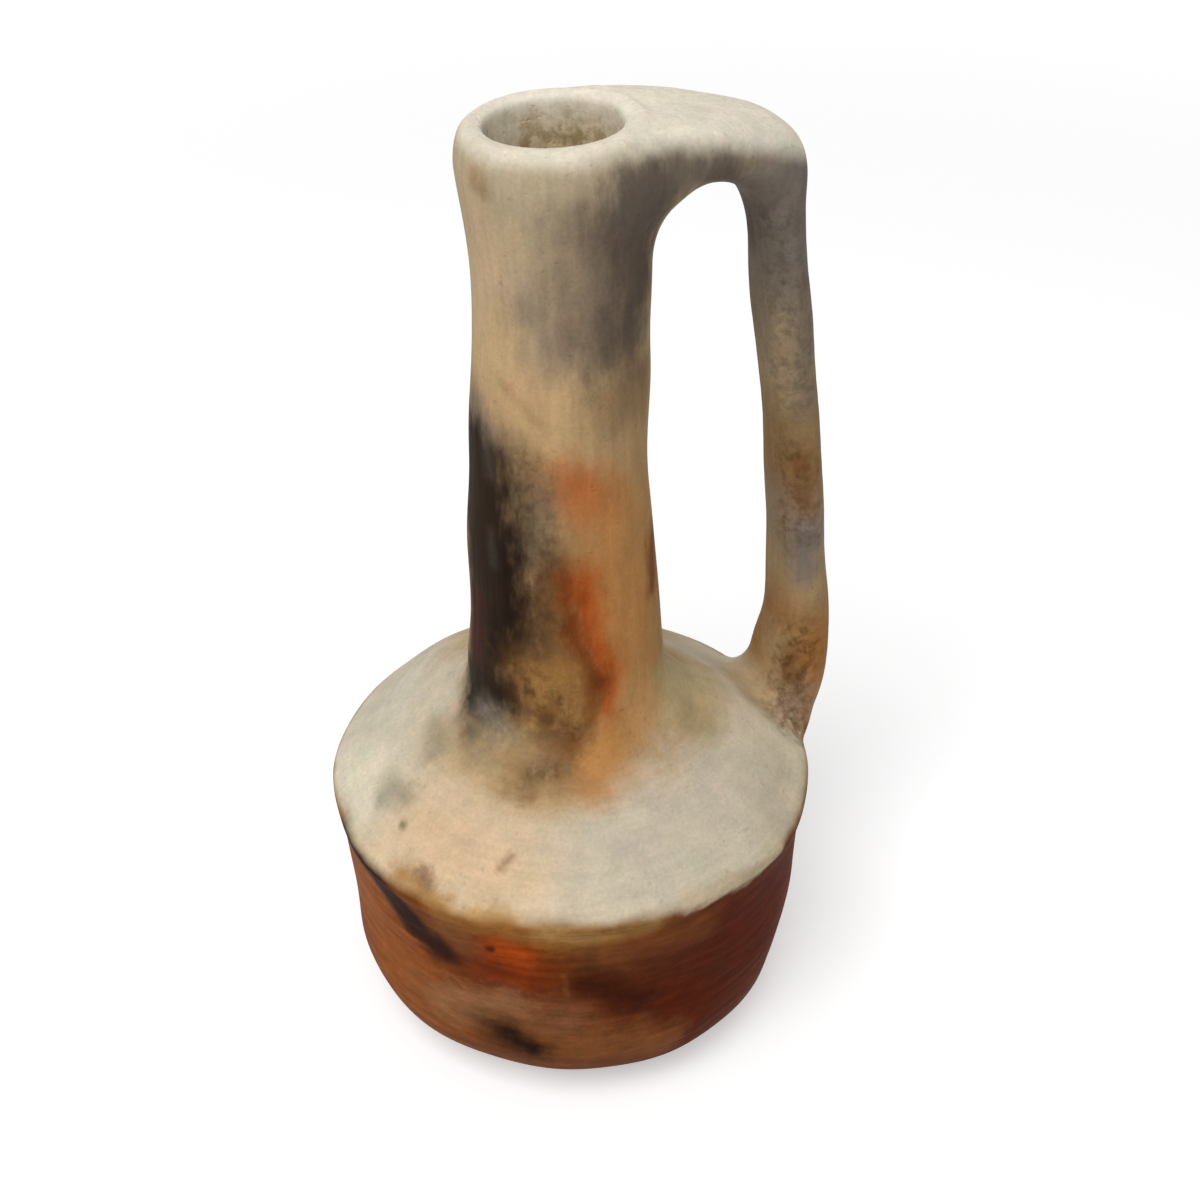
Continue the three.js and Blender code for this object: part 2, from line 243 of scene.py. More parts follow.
def inside():
    wall = BOWL_RADIUS - BOWL_WALL
    wall_top = WALL_TOP - BOWL_WALL
    bore = [radius - NECK_WALL for radius in SEAM_RADII]
    lean = bore[0] + ROOT_LEAN
    above = HEIGHT + LIP_RISE
    return np.vstack([
        [(0, FLOOR_THICKNESS)],
        arc((FLOOR_RADIUS, HEEL_HEIGHT), (wall - FLOOR_RADIUS, HEEL_HEIGHT - FLOOR_THICKNESS), -90, 0),
        bend((wall, HEEL_HEIGHT), (wall, WALL_MIDDLE), (wall_top, slab_under(wall_top))),
        bend(SLAB_END_IN, (lean, slab_under(lean)), (bore[0], NECK_FOOT)),
        through([*zip(bore, SEAM_HEIGHTS), (MOUTH_RADIUS, HEIGHT - MOUTH_ROUND)]),
        arc((LIP_R, HEIGHT - MOUTH_ROUND), (LIP_R - MOUTH_RADIUS, MOUTH_ROUND), 180, 90),
        [(LIP_R, above), (0, above)],
    ])


# Distance fields on one grid, negative in the clay

LIMITS = ((GRID_BACK, GRID_FRONT), (-GRID_SIDE, GRID_SIDE + VOXEL), (GRID_LOW, GRID_HIGH))
AXES = [np.arange(low, high, VOXEL) for low, high in LIMITS]
CORNER = np.array([axis[0] for axis in AXES])
XS, YS, ZS = AXES
HANDLE_BACK, HANDLE_SIDE, HANDLE_LOW = -24.0, 48.0, 50.0
HANDLE_AXES = (XS[XS > HANDLE_BACK], YS[np.abs(YS) < HANDLE_SIDE], ZS[ZS > HANDLE_LOW])
HANDLE = np.ix_(XS > HANDLE_BACK, np.abs(YS) < HANDLE_SIDE, ZS > HANDLE_LOW)
FAR = 60.0


def profile_table(profile, radii):
    """Signed distance from a profile to each radius and each height of the grid."""
    points = np.stack(np.meshgrid(radii, ZS, indexing="ij"), -1).reshape(-1, 2)
    nearest = np.full(len(points), np.inf)
    within = np.zeros(len(points), bool)
    for a, b in zip(profile[:-1], profile[1:]):
        run = b - a
        length = run @ run
        if length == 0:
            continue
        off = points - a
        t = np.clip(off @ run / length, 0, 1)
        nearest = np.minimum(nearest, ((off - t[:, None] * run) ** 2).sum(1))
        if run[1] != 0:
            passes = (a[1] > points[:, 1]) != (b[1] > points[:, 1])
            within ^= passes & (points[:, 0] < a[0] + off[:, 1] / run[1] * run[0])
    return np.where(within, -1, 1).reshape(len(radii), -1) * np.sqrt(nearest).reshape(len(radii), -1)


def turned(profile):
    """The field of a profile turned round the axis."""
    radii = np.arange(0, TABLE_REACH, TABLE_STEP)
    table = profile_table(profile, radii)
    reach = np.hypot(*np.meshgrid(XS, YS, indexing="ij"))
    field = np.empty((len(XS), len(YS), len(ZS)), np.float32)
    for level in range(len(ZS)):
        field[:, :, level] = np.interp(reach, radii, table[:, level])
    return field


def strap_field():
    """The field of the strap: rounded sections square to its middle line, which lies in the plane y = 0."""
    xs, ys, zs = HANDLE_AXES
    line = through(STRAP[:, :2], STRAP_STEPS, BY_DISTANCE)
    sizes = through(np.c_[STRAP[:, 2:], STRAP[:, 1]], STRAP_STEPS, BY_DISTANCE)[:, :3]
    heading = np.gradient(line, axis=0)
    heading /= np.linalg.norm(heading, axis=1)[:, None]
    grid = np.stack(np.meshgrid(xs, zs, indexing="ij"), -1)
    flat = grid.reshape(-1, 2)
    nearest = ((flat[:, None] - line[None]) ** 2).sum(-1).argmin(1)
    off = flat - line[nearest]
    along = (off * heading[nearest]).sum(1)
    out = off[:, 0] * heading[nearest, 1] - off[:, 1] * heading[nearest, 0]
    ended = (nearest == 0) & (along < 0) | (nearest == len(line) - 1) & (along > 0)
    past = np.where(ended, np.abs(along), 0)
    rows = [out, past, *sizes[nearest].T]
    out, past, width, thickness, power = [row.reshape(grid.shape[:2])[:, None, :] for row in rows]
    side = ys[None, :, None]
    power = np.where(out < 0, power, INNER_SQUARENESS)
    share = (np.abs(2 * side) / width) ** power + (np.abs(2 * out) / thickness) ** power
    share = np.maximum(share, TINY) ** (1 / power)
    reach = np.sqrt(side ** 2 + out ** 2 + TINY_SQUARE)
    return softened(reach * (1 - 1 / share) + past, STRAP_SOFTNESS)


def softened(field, reach):
    """A field whose corners along the strap are rounded off over a reach."""
    for _ in range(round(2 * (reach / VOXEL) ** 2)):
        for axis in (0, 2):
            wide = np.pad(field, [(int(axis == i),) * 2 for i in range(3)], mode="edge")
            before, here, after = [np.take(wide, np.arange(n, n + field.shape[axis]), axis) for n in range(3)]
            field = (before + 2 * here + after) / 4
    return field


def smoothed_together(a, b, radius):
    """Two fields joined with a rounded corner between them."""
    u = np.maximum(radius - a, 0)
    v = np.maximum(radius - b, 0)
    return np.maximum(radius, np.minimum(a, b)) - np.sqrt(u ** 2 + v ** 2)


def read(items, name, width=1, kind=np.float32):
    """One property of a mesh's vertices, faces or corners as an array."""
    values = np.empty(len(items) * width, kind)
    items.foreach_get(name, values)
    return values.reshape(-1, width) if width > 1 else values


def mesh_of(field, corner, name):
    """The surface where a field is nought, as a mesh in metres."""
    grid = openvdb.FloatGrid(FAR)
    grid.copyFromArray(np.ascontiguousarray(field, dtype=np.float32))
    points, faces = grid.convertToQuads(0.0)
    return mesh_from((points * VOXEL + corner) * MM, faces, name)


def mesh_from(points, faces, name):
    """A closed mesh whose faces look outwards."""
    mesh = bpy.data.meshes.new(name)
    mesh.from_pydata(points, [], faces)
    mesh.calc_loop_triangles()
    corners = read(mesh.loop_triangles, "vertices", 3, np.int32)
    a, b, c = np.asarray(points, float)[corners].transpose(1, 0, 2)
    if (np.cross(a, b) * c).sum() < 0:
        mesh.flip_normals()
    return mesh


body = turned(outside())
hollow = turned(inside())
strap = strap_field()
strap_everywhere = np.full(body.shape, FAR, np.float32)
strap_everywhere[HANDLE] = strap
fillet = np.interp(ZS, FILLET_HEIGHTS, FILLET_RADII)
jar_mesh = mesh_of(np.maximum(smoothed_together(body, strap_everywhere, fillet), -hollow), CORNER, "jar")


# The maker's hand: soft unevenness all over, and the swells and hollows that the outline shows

UNEVENNESS = 0.35
UNEVEN_LENGTHS = (28.0, 75.0)
# Bearing from the handle in degrees, height, how far the wall swells out, and its spread round and up the jar
SWELLS = (
    (157, 243, -1.0, 18, 22),
    (157, 182, 2.0, 18, 26),
    (157, 130, 1.5, 16, 12),
    (-23, 262, 1.5, 16, 20),
    (-23, 228, 0.5, 18, 12),
    (-23, 188, -1.2, 18, 20),
    (-55, 8, 3.4, 40, 14),
    (-35, 22, -1.8, 40, 10),
    (-110, 8, 0.9, 40, 14),
    (145, 24, 0.6, 34, 14),
    (-35, 44, 1.4, 40, 12),
    (-50, 82, 1.4, 18, 8),
    (-168, 83, 1.2, 24, 9),
    (112, 100, 2.6, 30, 12),
    (24, 100, -1.7, 26, 12),
    (52, 298, 1.7, 14, 8),
)
FOOT_FLAT = 8.0  # no unevenness at the foot, all of it from here up
HOLLOW_CLEAR = (1.0, 4.0)  # no unevenness this near the hollow, and all of it this far away
SEED = 7


def eased(values, low, high):
    t = np.clip((values - low) / (high - low), 0, 1)
    return t * t * (3 - 2 * t)


def soft_waves(points, lengths, count=24):
    """A smooth uneven field of about one unit, made of waves in all directions."""
    dice = np.random.default_rng(SEED)
    ways = dice.normal(size=(count, 3))
    ways *= 2 * math.pi / (np.linalg.norm(ways, axis=1) * dice.uniform(*lengths, count))[:, None]
    return np.cos(points @ ways.T + dice.uniform(0, 2 * math.pi, count)).sum(1) * math.sqrt(2 / count)


def sampled(field, points):
    """The values of a field at points between those of its grid."""
    place = (points - CORNER) / VOXEL
    low = np.floor(place).astype(int)
    part = place - low
    value = np.zeros(len(points))
    for corner in np.ndindex(2, 2, 2):
        share = np.where(corner, part, 1 - part).prod(1)
        value += share * field[tuple((low + corner).T)]
    return value


def hand_shaped(mesh):
    """Moves a mesh's points to the uneven wall, the shifted mouth and the tilted rim."""
    points = read(mesh.vertices, "co", 3) / MM
    normals = read(mesh.vertex_normals, "vector", 3)
    x, y, z = points.T
    radius, bearing = np.hypot(x, y), np.arctan2(y, x)
    swell = UNEVENNESS * soft_waves(points, UNEVEN_LENGTHS)
    for degrees, height, amount, around, up in SWELLS:
        turn = (bearing - math.radians(degrees) + math.pi) % (2 * math.pi) - math.pi
        swell += amount * np.exp(-((radius * turn / around) ** 2) - ((z - height) / up) ** 2)
    swell *= eased(sampled(hollow, points), *HOLLOW_CLEAR) * eased(z, 0, FOOT_FLAT)
    points += normals * swell[:, None]
    start = RIM_FOOT + COURSE_BEVEL
    low = np.clip((1 + radius / RIM_RADIUS * np.cos(bearing - LOW_SIDE)) / 2, 0, 1)
    inner = eased(LIP_R - radius, -SHIFT_EDGE, SHIFT_EDGE)
    shift = MOUTH_SHIFT * inner * eased(z, start, HEIGHT - LIP_RISE)
    points[:, 2] -= RIM_TILT * low * np.clip((z - start) / (HEIGHT - start), 0, 1) ** 2
    points[:, 0] += shift * math.cos(SHIFTED_TO)
    points[:, 1] += shift * math.sin(SHIFTED_TO)
    mesh.vertices.foreach_set("co", (points * MM).ravel())
    mesh.update()


hand_shaped(jar_mesh)


# Carving into the members

SKIN, CORE = 0, 1  # material slots that tell the jar's own surface from a cut


def marked(mesh, slot):
    mesh.materials.append(None)
    mesh.materials.append(None)
    mesh.polygons.foreach_set("material_index", np.full(len(mesh.polygons), slot, np.int32))
    return mesh


def carved(mesh, operation, cutter):
    """What a cutter leaves of a mesh (DIFFERENCE), or takes out of it (INTERSECT)."""
    collection = bpy.context.scene.collection
    work = bpy.data.objects.new("work", mesh)
    tool = bpy.data.objects.new("tool", cutter)
    for thing in (work, tool):
        collection.objects.link(thing)
    cut = work.modifiers.new("cut", "BOOLEAN")
    cut.solver = "MANIFOLD"
    cut.operation = operation
    cut.object = tool
    result = bpy.data.meshes.new_from_object(work.evaluated_get(bpy.context.evaluated_depsgraph_get()))
    for thing in (work, tool):
        bpy.data.objects.remove(thing)
    return result


def lathe(outline, name):
    """A closed solid of revolution from an outline that starts and ends on the axis."""
    points, rows, faces = [], [], []
    angles = np.linspace(0, 2 * math.pi, SEAM_SIDES, endpoint=False)
    for radius, level in outline:
        sides = angles if radius > 0 else angles[:1]
        rows.append(range(len(points), len(points) + len(sides)))
        points += [(radius * math.cos(a), radius * math.sin(a), level) for a in sides]
    for low, high in zip(rows[:-1], rows[1:]):
        for i in range(SEAM_SIDES):
            j = (i + 1) % SEAM_SIDES
            corners = [low[i % len(low)], low[j % len(low)], high[j % len(high)], high[i % len(high)]]
            faces.append(tuple(dict.fromkeys(corners)))
    return marked(mesh_from(np.array(points) * MM, faces, name), CORE)


REACH = 200.0  # past everything


def seam(outer, inner):
    """A bevelled seam as an outline from the axis outwards, level inside the hollow and outside the wall."""
    radius_out = np.interp(outer, OUTSIDE[1:-1, 1], OUTSIDE[1:-1, 0])
    radius_in = np.interp(inner, INSIDE[1:-2, 1], INSIDE[1:-2, 0])
    return [(0, inner), (radius_in, inner), (radius_out, outer), (REACH, outer)]


OUTSIDE, INSIDE = outside(), inside()
BOWL_STEP = (BOWL_HEIGHT - PAD_HEIGHT) / 3
SEAMS = [
    [(0, -REACH), (REACH, -REACH)],
    seam(PAD_HEIGHT, FLOOR_THICKNESS + COURSE_BEVEL),
    *[seam(z, z + COURSE_BEVEL) for z in (PAD_HEIGHT + BOWL_STEP, PAD_HEIGHT + 2 * BOWL_STEP)],
    seam(BOWL_HEIGHT, slab_under(WALL_TOP - BOWL_WALL)),
    [(0, SLAB_END_IN[1]), SLAB_END_IN, (ROOT_RADIUS, SLAB_END), (REACH, SLAB_END)],
    *[seam(z, z + COURSE_BEVEL) for z in SEAM_HEIGHTS],
    [(0, HEIGHT + REACH), (REACH, HEIGHT + REACH)],
]
MEMBERS = {
    "base_pad": "brown_clay",
    "bowl_lower_course": "brown_clay",
    "bowl_middle_course": "brown_clay",
    "bowl_upper_course": "brown_clay",
    "shoulder_slab": "cream_clay",
    "neck_root_coil": "buff_clay",
    "neck_lower_course": "buff_clay",
    "neck_middle_course": "buff_clay",
    "neck_upper_course": "buff_clay",
    "rim_coil": "cream_clay",
}

WALL_SKIN = 1.0  # how deep the handle's clay is worked into the wall
STRAP_SKIN = 1.5  # how deep a wad's clay is worked over the strap
WAD_REACH, WAD_SIDE, WAD_LOW, WAD_TOP = 47.0, 17.0, 200.0, 283.0
PAD_TOP = 113.0
ROOM_BACK, ROOM_SIDE, ROOM_LOW = 6.0, 46.0, 52.0


def handle_rooms():
    """Cutters for all of the handle, the wad under its bridge and the pad round its foot."""
    xs, ys, zs = np.meshgrid(*HANDLE_AXES, indexing="ij", sparse=True)
    corner = np.array([axis[0] for axis in HANDLE_AXES])
    grasp = np.interp(zs, FILLET_HEIGHTS, GRASP_RADII)
    worked = -(strap + STRAP_SKIN)
    edge = np.maximum(np.abs(ys) - ROOM_SIDE, np.maximum(ROOM_LOW - zs, ROOM_BACK - xs))
    every = np.maximum(strap - grasp, -(body[HANDLE] + WALL_SKIN))
    across = np.maximum(xs - WAD_REACH, np.abs(ys) - WAD_SIDE)
    wad = np.maximum(across, np.maximum(zs - WAD_TOP, WAD_LOW - zs))
    pad = zs - PAD_TOP
    fields = [every, np.maximum(wad, worked), np.maximum(pad, worked)]
    return [marked(mesh_of(np.maximum(f, edge), corner, "room"), CORE) for f in fields]


marked(jar_mesh, SKIN)
handle_room, wad_room, pad_room = handle_rooms()
handle = carved(jar_mesh, "INTERSECT", handle_room)
pot = carved(jar_mesh, "DIFFERENCE", handle_room)
pieces = {}
for node, low, high in zip(MEMBERS, SEAMS[:-1], SEAMS[1:]):
    pieces[node] = carved(pot, "INTERSECT", lathe(low + high[::-1], "ring"))
pieces["handle_arch_wad"] = carved(handle, "INTERSECT", wad_room)
pieces["handle_foot_pad"] = carved(handle, "INTERSECT", pad_room)
pieces["handle_strap"] = carved(carved(handle, "DIFFERENCE", wad_room), "DIFFERENCE", pad_room)
MEMBERS.update(handle_arch_wad="grey_clay", handle_foot_pad="buff_clay", handle_strap="grey_clay")

jar_points = read(jar_mesh.vertices, "co", 3)
jar_normals = read(jar_mesh.vertex_normals, "vector", 3)
jar_faces = read(jar_mesh.loops, "vertex_index", kind=np.int32).reshape(-1, 4)
jar_tree = BVHTree.FromPolygons(jar_points.tolist(), jar_faces.tolist())
same_point = {point.tobytes(): i for i, point in enumerate(jar_points)}


def jar_normal(point):
    """The whole jar's normal at a point of its surface."""
    known = same_point.get(point.tobytes())
    if known is not None:
        return jar_normals[known]
    face = jar_faces[jar_tree.find_nearest(Vector(point))[2]]
    nearness = 1 / (np.linalg.norm(jar_points[face] - point, axis=1) + TINY_GAP)
    return nearness @ jar_normals[face]


def smooth_over_seams(mesh):
    """Gives a member the whole jar's normals on its skin, which hides the seams, and flat ones on a cut."""
    mesh.shade_smooth()
    normals = np.array([jar_normal(point) for point in read(mesh.vertices, "co", 3)])
    corners = read(mesh.polygons, "loop_total", kind=np.int32)
    is_cut = np.repeat(read(mesh.polygons, "material_index", kind=np.int32) == CORE, corners)
    flat = np.repeat(read(mesh.polygon_normals, "vector", 3), corners, axis=0)
    custom = np.where(is_cut[:, None], flat, normals[read(mesh.loops, "vertex_index", kind=np.int32)])
    mesh.normals_split_custom_set(custom / np.linalg.norm(custom, axis=1)[:, None])


WELD = 0.02  # points nearer than this become one
CRUMB = 100  # bodies with fewer faces than this are crumbs


def bodies(work):
    """The faces of a mesh, sorted into the bodies that they make up."""
    found, known = [], set()
    for face in work.faces:
        if face in known:
            continue
        known.add(face)
        faces = [face]
        for here in faces:
            new = {other for edge in here.edges for other in edge.link_faces} - known
            known |= new
            faces += new
        found.append(faces)
    return found


def cleaned(mesh):
    """Rids a member of the crumbs, short edges and needless points that carving leaves along its cuts."""
    work = bmesh.new()
    work.from_mesh(mesh)
    crumbs = [face for faces in bodies(work) if len(faces) < CRUMB for face in faces]
    bmesh.ops.delete(work, geom=crumbs, context="FACES")
    bmesh.ops.remove_doubles(work, verts=work.verts, dist=WELD * MM)
    bmesh.ops.dissolve_verts(work, verts=[v for v in work.verts if len(v.link_edges) == 2])
    bmesh.ops.triangulate(work, faces=[face for face in work.faces if len(face.verts) > 4])
    work.to_mesh(mesh)
    work.free()


def add_piece(node, mesh, material):
    cleaned(mesh)
    smooth_over_seams(mesh)
    mesh.materials.clear()
    mesh.materials.append(material)
    mesh.polygons.foreach_set("material_index", np.zeros(len(mesh.polygons), np.int32))
    piece = bpy.data.objects.new(node + "_clay", mesh)
    bpy.context.scene.collection.objects.link(piece)
    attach(piece, "root")
    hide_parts(node)


# Fired clay

class Nodes:
    """Short ways to add nodes to a material. Each gives back the socket of its result."""

    COLOUR_SHARE, COLOUR_A, COLOUR_B, COLOUR_RESULT = 0, 6, 7, 2

    def __init__(self, material):
        material.use_nodes = True
        self.tree = material.node_tree

    def fill(self, socket, value):
        if isinstance(value, bpy.types.NodeSocket):
            self.tree.links.new(value, socket)
        else:
            socket.default_value = value

    def add(self, kind, values, result=0, **settings):
        node = self.tree.nodes.new("ShaderNode" + kind)
        for name, setting in settings.items():
            setattr(node, name, setting)
        for name, value in values.items():
            self.fill(node.inputs[name], value)
        return node.outputs[result]

    def math(self, operation, *values, clamp=False):
        return self.add("Math", dict(enumerate(values)), operation=operation, use_clamp=clamp)

    def vector(self, operation, *values, result="Vector"):
        return self.add("VectorMath", dict(enumerate(values)), result, operation=operation)

    def scaled(self, vector, factor):
        return self.add("VectorMath", {"Vector": vector, "Scale": factor}, operation="SCALE")

    def parts(self, vector):
        return self.add("SeparateXYZ", {"Vector": vector}).node.outputs

    def eased(self, value, low, high, start=0.0, end=1.0):
        """Runs smoothly from start, where the value is low, to end, where it is high."""
        limits = {"Value": value, "From Min": low, "From Max": high, "To Min": start, "To Max": end}
        return self.add("MapRange", limits, interpolation_type="SMOOTHSTEP")

    def noise(self, place, detail=2.0, roughness=0.5, result="Fac", **more):
        values = {"Vector": place, "Scale": 1.0, "Detail": detail, "Roughness": roughness, **more}
        return self.add("TexNoise", values, result, noise_dimensions="4D" if "W" in more else "3D")

    def mix(self, share, a, b):
        values = {self.COLOUR_SHARE: share, self.COLOUR_A: a, self.COLOUR_B: b}
        return self.add("Mix", values, self.COLOUR_RESULT, data_type="RGBA")

    def ramp(self, value, stops):
        """Colours by a value, from the first stop to the last."""
        low, high = stops[0][0], stops[-1][0]
        share = self.add("MapRange", {"Value": value, "From Min": low, "From Max": high})
        colours = self.add("ValToRGB", {"Fac": share})
        marks = colours.node.color_ramp.elements
        while len(marks) < len(stops):
            marks.new(1.0)
        for mark, (at, colour) in zip(marks, stops):
            mark.position = (at - low) / (high - low)
            mark.color = pigment(colour)
        return colours


def pigment(code):
    """A colour written as RRGGBB for a screen, as the share of light that it gives back."""
    shades = [int(code[i:i + 2], 16) / 255 for i in (0, 2, 4)]
    return *[s / 12.92 if s < 0.04045 else ((s + 0.055) / 1.055) ** 2.4 for s in shades], 1.0


def seen(x, y):
    """The place on the jar in millimetres at a pixel of the photograph, or nearest to it past the outline."""
    across, down = (x / PHOTO - 0.5) * SENSOR / LENS, (y / PHOTO - 0.5) * SENSOR / LENS
    way = GAZE + RIGHT * across - UP * down
    place = jar_tree.ray_cast(EYE, way)[0]
    if place is None:
        beside_axis = EYE - way * (EYE.xy.dot(way.xy) / way.xy.length_squared)
        place = jar_tree.find_nearest(beside_axis)[0]
    return place / MM


def round_at(bearing, height):
    """The place on the jar's outside at a bearing from the handle and a height, in millimetres."""
    out = Vector((math.cos(math.radians(bearing)), math.sin(math.radians(bearing)), 0))
    return jar_tree.ray_cast(out * REACH * MM + Vector((0, 0, height * MM)), -out)[0] / MM


# Colours by height: of the bowl, of what stands on it, of the handle and of the crown,
# and the dark and the pale of the bore, which darken deep down as painted shade and turn near white by the
# lip as painted light
BOWL_COLOURS = ((0, "7c4826"), (14, "804a28"), (34, "733812"), (62, "6a2e0a"), (78, "72360c"), (85, "834c18"))
UPPER_COLOURS = (
    (84, "c0aa7e"), (89, "d8cbb0"), (103, "d4c6ac"), (108, "c2a67c"), (113, "b19063"), (122, "ae8f60"),
    (160, "ad8656"), (195, "b38c5d"), (225, "b99b72"), (250, "baa37e"), (272, "b6a283"), (292, "bba98b"),
)
HANDLE_COLOURS = (
    (88, "b8986a"), (98, "aa8452"), (110, "a27a4a"), (123, "a67f54"), (139, "a9906b"), (160, "9c8872"),
    (181, "97784f"), (195, "987d58"), (209, "a18c6d"), (235, "8e816e"), (250, "7d7368"), (285, "7f746a"),
)
CROWN_COLOUR = "eae1cd"
# The bore's two tones carry painted shade deeper down and painted light on the upper wall by the lip
BORE_DARK_PAINTED_SHADE_AND_LIGHT = ((282, "947f5b"), (287, "a8946f"), (292, "cabb9c"), (297, "efe7d5"))
BORE_PALE_PAINTED_SHADE_AND_LIGHT = ((282, "c3b08a"), (287, "d4c3a2"), (292, "e6dbc4"), (297, "f1eada"))

# Marks of the fire, with painted shade and painted light among them where noted, painted in this order:
# colour, strength, radius, softness of the edge, and places along its middle
BOWL_CLOUDS = (
    ("a05a26", 0.85, 24, 16, seen(372, 905), seen(400, 965)),
    ("541800", 0.85, 34, 20, seen(745, 930), seen(700, 1005)),
    ("88532c", 0.85, 9, 8, seen(430, 996), seen(500, 1018), seen(570, 1040), seen(660, 1042)),
    ("a06b32", 0.85, 4.5, 4.5, seen(440, 914), seen(500, 930), seen(560, 940), seen(600, 942)),
    ("b08850", 0.8, 3, 3.6, seen(545, 935), seen(600, 937), seen(650, 927)),
    ("55301a", 0.6, 7, 7, seen(592, 964), seen(645, 958)),
    ("7f4a22", 0.6, 7, 7, seen(610, 954), seen(640, 942), seen(700, 928)),
    ("7c2e04", 0.85, 8, 7, seen(482, 962), seen(516, 972)),
    ("a84408", 0.9, 5.5, 5, seen(500, 948), seen(518, 956)),
    ("80522c", 0.7, 7, 7, seen(452, 936)),
    ("9a6a46", 0.75, 6, 6, seen(445, 1003), seen(515, 1003)),
    ("875a3a", 0.6, 7, 7, seen(560, 1016)),
    ("3a1303", 0.85, 6, 5, seen(588, 985), seen(640, 1000)),
    ("55240c", 0.6, 6, 6, seen(650, 968), seen(720, 962)),
    ("4c2a14", 0.65, 8, 7, seen(500, 1032), seen(530, 1046)),
    ("1a0802", 0.95, 5, 5, seen(508, 1034), seen(528, 1048)),
    ("3c1004", 0.9, 1.6, 1.2, seen(489, 948)),
    ("b57a48", 0.3, 0.8, 1.0, seen(562, 974), seen(568, 996)),
    ("240500", 0.97, 7.2, 3.6, seen(348, 838), seen(368, 868), seen(394, 900), seen(408, 917)),
    ("260600", 0.95, 5.6, 4.2, seen(408, 917), seen(426, 936), seen(440, 950)),
    # Away from the camera
    ("8a5230", 0.8, 20, 14, round_at(100, 40), round_at(60, 46)),
    ("421a06", 0.85, 9, 9, round_at(38, 66), round_at(24, 44), round_at(16, 30)),
    ("99572a", 0.7, 8, 8, round_at(125, 70), round_at(90, 74)),
    ("2a0e03", 0.85, 5, 5, round_at(140, 26), round_at(128, 20)),
    ("8f5f3c", 0.7, 9, 9, round_at(80, 14), round_at(20, 12)),
)
